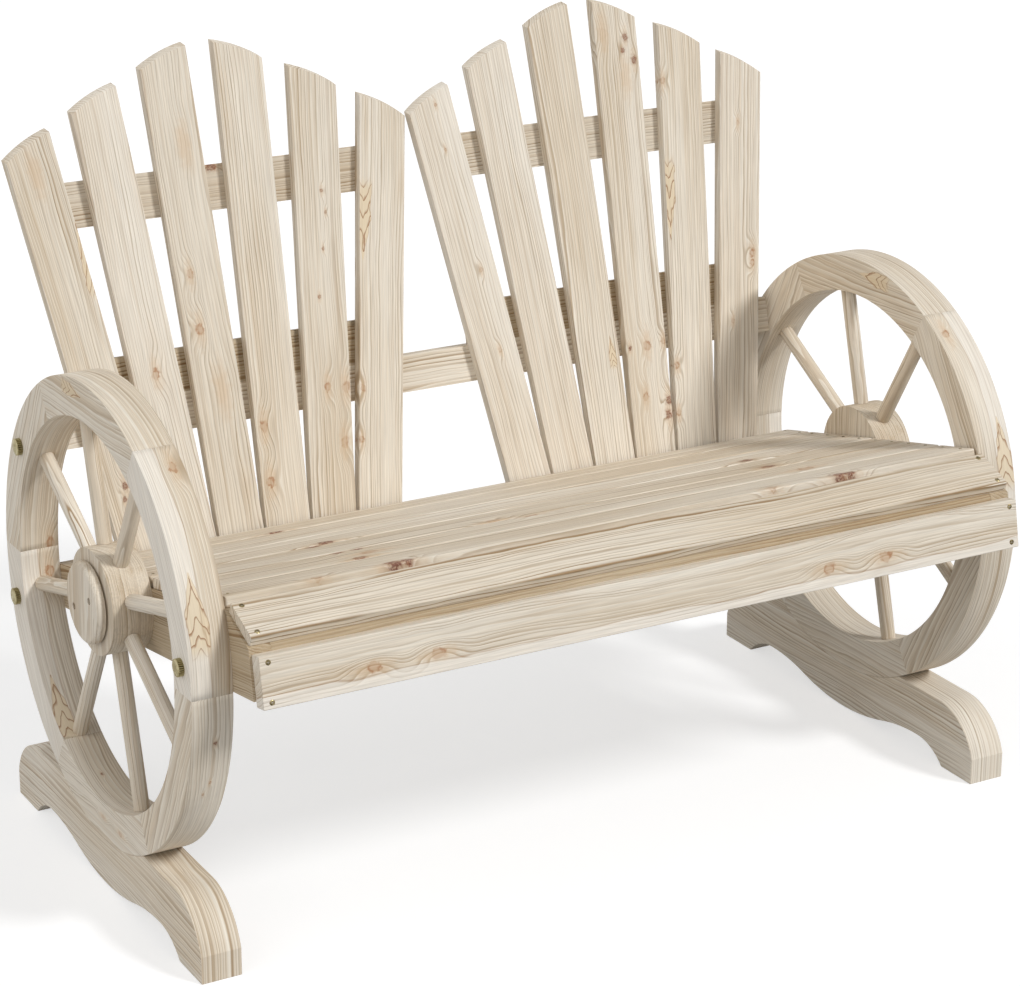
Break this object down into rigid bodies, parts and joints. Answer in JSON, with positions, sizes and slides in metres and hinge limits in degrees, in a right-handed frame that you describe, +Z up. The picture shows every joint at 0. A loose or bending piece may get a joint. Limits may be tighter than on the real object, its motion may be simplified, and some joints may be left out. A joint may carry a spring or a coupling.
{
  "type": "wagon wheel bench",
  "caption": "Slatted wooden bench with spoked wagon wheels as its ends, standing in curved feet, a seat that tilts back and a back of fanned slats.",
  "frame": {"origin": "on the floor, at the bottom centre of the bench's bounding box", "axes": "+X along the bench to the viewer's right, +Y from the front to the back, +Z up"},
  "size_m": [1.219, 0.7218, 0.9907],
  "materials": {
    "foot_wood": "plain sanded softwood, unpainted",
    "rim_wood": "plain sanded softwood, unpainted",
    "spoke_wood": "plain sanded softwood, unpainted",
    "hub_wood": "plain sanded softwood, unpainted",
    "seat_wood": "plain sanded softwood, unpainted",
    "slat_wood": "plain sanded softwood, unpainted",
    "rail_wood": "plain sanded softwood, unpainted",
    "bolt_brass": "polished, brass-coloured"
  },
  "bodies": {
    "root": {"apron": "seat_wood", "cross_beam": "rail_wood", "front_cross_rail": "rail_wood", "hub_caps": "hub_wood", "left_felloe_1": "rim_wood", "left_felloe_2": "rim_wood", "left_felloe_3": "rim_wood", "left_felloe_4": "rim_wood", "left_felloe_5": "rim_wood", "left_felloe_6": "rim_wood", "left_foot": "foot_wood", "left_hub": "hub_wood", "left_lower_rail": "rail_wood", "left_side_rail": "rail_wood", "left_slat_1": "slat_wood", "left_slat_2": "slat_wood", "left_slat_3": "slat_wood", "left_slat_4": "slat_wood", "left_slat_5": "slat_wood", "left_slat_6": "slat_wood", "left_spokes": "spoke_wood", "left_upper_rail": "rail_wood", "left_wheel_bolts": "bolt_brass", "nose_board": "seat_wood", "rear_cross_rail": "rail_wood", "right_felloe_1": "rim_wood", "right_felloe_2": "rim_wood", "right_felloe_3": "rim_wood", "right_felloe_4": "rim_wood", "right_felloe_5": "rim_wood", "right_felloe_6": "rim_wood", "right_foot": "foot_wood", "right_hub": "hub_wood", "right_lower_rail": "rail_wood", "right_side_rail": "rail_wood", "right_slat_1": "slat_wood", "right_slat_2": "slat_wood", "right_slat_3": "slat_wood", "right_slat_4": "slat_wood", "right_slat_5": "slat_wood", "right_slat_6": "slat_wood", "right_spokes": "spoke_wood", "right_upper_rail": "rail_wood", "right_wheel_bolts": "bolt_brass", "seat_board_1": "seat_wood", "seat_board_2": "seat_wood", "seat_board_3": "seat_wood", "seat_board_4": "seat_wood", "seat_board_5": "seat_wood", "seat_board_6": "seat_wood"}
  },
  "joints": []
}
